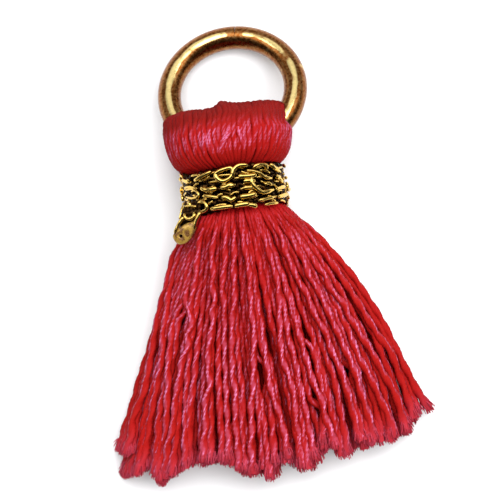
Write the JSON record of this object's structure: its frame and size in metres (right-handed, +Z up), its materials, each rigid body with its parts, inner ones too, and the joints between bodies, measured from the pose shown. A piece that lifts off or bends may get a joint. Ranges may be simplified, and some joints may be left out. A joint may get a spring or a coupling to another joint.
{
  "type": "silk tassel on a jump ring",
  "caption": "Small crimson silk tassel wound through a round metal jump ring, its neck bound with antique gold braid, lying on its back with the skirt fanned.",
  "frame": {"origin": "centre of the bounding box in plan, on the surface that the tassel lies on", "axes": "+Y from the skirt's hem to the ring's free end, +X to the right as seen from above, +Z up from the surface"},
  "size_m": [0.0176, 0.0248, 0.0059],
  "materials": {
    "ring_metal": "polished antique gold with dark reflections",
    "silk_thread": "lustrous twisted crimson thread with pink highlights",
    "gold_braid": "antique gold linked metallic braid with dark gaps"
  },
  "bodies": {
    "root": {"jump_ring": "ring_metal", "thread_tassel": "silk_thread", "neck_binding": "gold_braid"}
  },
  "joints": []
}
